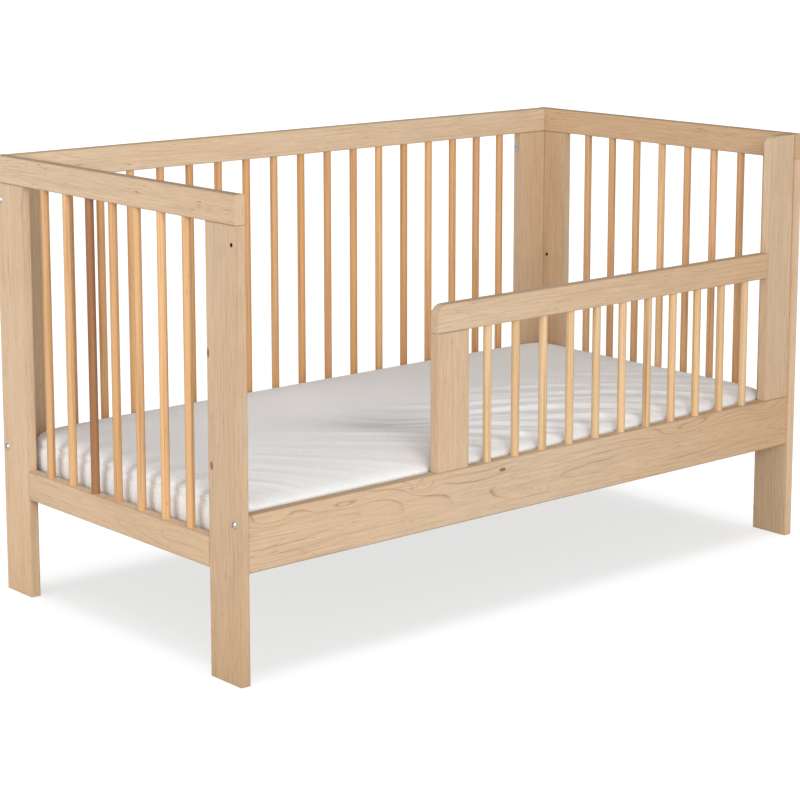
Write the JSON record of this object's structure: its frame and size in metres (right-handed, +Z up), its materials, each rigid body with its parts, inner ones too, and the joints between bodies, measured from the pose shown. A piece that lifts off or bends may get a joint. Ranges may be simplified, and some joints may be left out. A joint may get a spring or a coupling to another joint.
{
  "type": "baby crib",
  "caption": "Wooden baby crib set up as a toddler bed: slatted end and back panels, a half-length front guard with an open entry, a height-adjustable slatted base and a mattress.",
  "frame": {"origin": "on the floor under the middle of the crib, at the bottom centre of its box", "axes": "+X along the crib towards the end beside the guard, +Y from the entry side to the back panel, +Z up"},
  "size_m": [1.4566, 0.758, 0.85],
  "materials": {
    "frame_wood": "clear satin lacquer on pale maple or beech boards",
    "slat_wood": "clear satin lacquer on warm-toned round slats",
    "base_wood": "plain sanded wood",
    "zinc": "bright zinc plate",
    "mattress_cover": "white knitted cotton cover with a fine honeycomb rib"
  },
  "bodies": {
    "crib_frame": {"left_front_post": "frame_wood", "left_rear_post": "frame_wood", "left_top_rail": "frame_wood", "left_lower_rail": "frame_wood", "right_front_post": "frame_wood", "right_rear_post": "frame_wood", "right_top_rail": "frame_wood", "right_lower_rail": "frame_wood", "back_left_post": "frame_wood", "back_right_post": "frame_wood", "back_top_rail": "frame_wood", "back_lower_rail": "frame_wood", "front_lower_rail": "frame_wood", "guard_short_post": "frame_wood", "guard_tall_post": "frame_wood", "guard_top_rail": "frame_wood", "left_end_slat_1": "slat_wood", "left_end_slat_2": "slat_wood", "left_end_slat_3": "slat_wood", "left_end_slat_4": "slat_wood", "left_end_slat_5": "slat_wood", "left_end_slat_6": "slat_wood", "left_end_slat_7": "slat_wood", "right_end_slat_1": "slat_wood", "right_end_slat_2": "slat_wood", "right_end_slat_3": "slat_wood", "right_end_slat_4": "slat_wood", "right_end_slat_5": "slat_wood", "right_end_slat_6": "slat_wood", "right_end_slat_7": "slat_wood", "guard_slat_1": "slat_wood", "guard_slat_2": "slat_wood", "guard_slat_3": "slat_wood", "guard_slat_4": "slat_wood", "guard_slat_5": "slat_wood", "guard_slat_6": "slat_wood", "guard_slat_7": "slat_wood", "guard_slat_8": "slat_wood", "guard_slat_9": "slat_wood", "guard_slat_10": "slat_wood", "guard_slat_11": "slat_wood", "back_slats": "slat_wood", "joint_dowels": "base_wood", "connecting_bolts": "zinc", "sleeve_nuts": "zinc", "barrel_nuts": "zinc", "level_inserts": "zinc", "support_pegs": "zinc"},
    "mattress_base": {"base_front_rail": "base_wood", "base_rear_rail": "base_wood", "base_left_rail": "base_wood", "base_right_rail": "base_wood", "base_slats": "base_wood", "base_screws": "zinc", "slat_screws": "zinc"},
    "mattress": {"mattress": "mattress_cover"}
  },
  "joints": [
    {"name": "base_height", "type": "slide", "parent": "crib_frame", "child": "mattress_base", "axis": [0, 0, 1], "range_m": [0, 0.3]},
    {"name": "mattress_lift", "type": "slide", "parent": "mattress_base", "child": "mattress", "axis": [0, 0, 1], "range_m": [0, 0.65]}
  ]
}
